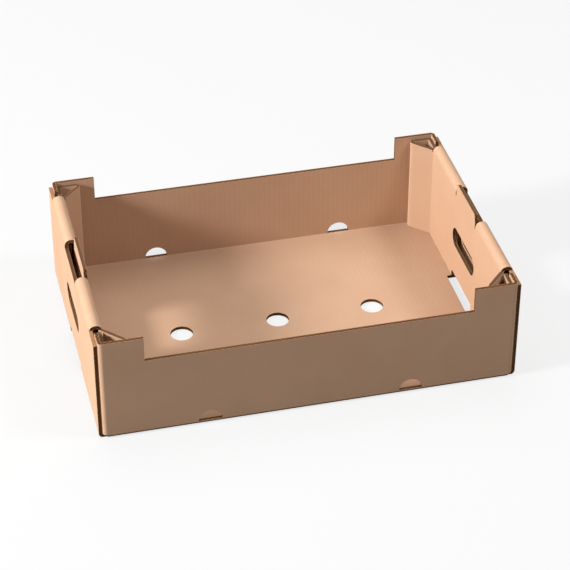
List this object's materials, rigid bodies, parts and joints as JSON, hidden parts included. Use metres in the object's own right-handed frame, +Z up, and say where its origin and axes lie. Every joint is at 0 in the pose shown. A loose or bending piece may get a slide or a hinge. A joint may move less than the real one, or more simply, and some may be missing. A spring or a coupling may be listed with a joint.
{
  "type": "cardboard tray box",
  "caption": "Open stacking tray of folded corrugated board with double end walls, hand holes, corner posts, stacking tabs and vent holes.",
  "frame": {"origin": "middle of the underside of the floor", "axes": "+X along the length of the tray, towards one end wall; +Y across it, towards one long wall; +Z up"},
  "size_m": [0.59, 0.4, 0.17],
  "materials": {
    "board": "matte"
  },
  "bodies": {
    "root": {"tray": "board"}
  },
  "joints": []
}
